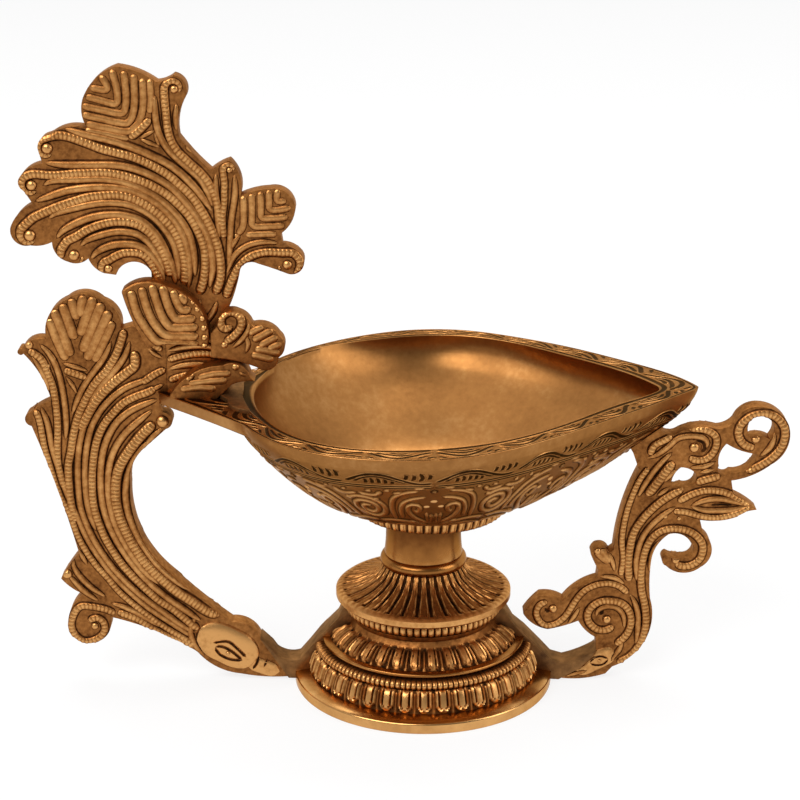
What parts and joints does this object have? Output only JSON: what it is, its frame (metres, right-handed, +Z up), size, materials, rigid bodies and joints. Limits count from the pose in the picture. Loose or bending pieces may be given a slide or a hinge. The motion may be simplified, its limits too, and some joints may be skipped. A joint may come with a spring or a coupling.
{
  "type": "diya oil lamp with handle",
  "caption": "Footed brass oil lamp: a spouted bowl on a turned lotus pedestal, with a cast plume handle and crest at the back and a pierced scroll bracket under the spout.",
  "frame": {"origin": "centre of the base plate's underside, on the pedestal's axis", "axes": "+Z up, +X towards the spout, -Y the front of the lamp with the leaves"},
  "size_m": [0.1985, 0.1073, 0.1652],
  "materials": {
    "polished_brass": "turned, worn bright",
    "satin_brass": "brushed satin inside, chased outside",
    "antique_brass": "cast relief with dark patina in the grooves",
    "brazing_metal": "dull brazing metal",
    "steel_hardware": "plain hardware, out of sight"
  },
  "bodies": {
    "root": {"base_flange": "polished_brass", "petal_skirt": "antique_brass", "rope_ring": "antique_brass", "plain_ring": "polished_brass", "pedestal_dome": "antique_brass", "cap_bead_ring": "antique_brass", "lotus_cap": "antique_brass", "neck_bead": "polished_brass", "neck_sleeve": "polished_brass", "bowl_calyx": "antique_brass", "oil_bowl": "satin_brass", "tie_rod": "steel_hardware", "tie_washer": "steel_hardware", "tie_nut": "steel_hardware", "handle_plume": "antique_brass", "crest_plume": "antique_brass", "fan_leaf": "antique_brass", "scroll_leaf": "antique_brass", "tail_bird": "antique_brass", "tail_braze": "brazing_metal", "spout_bracket": "antique_brass", "left_arm": "brazing_metal", "right_arm": "brazing_metal"}
  },
  "joints": []
}
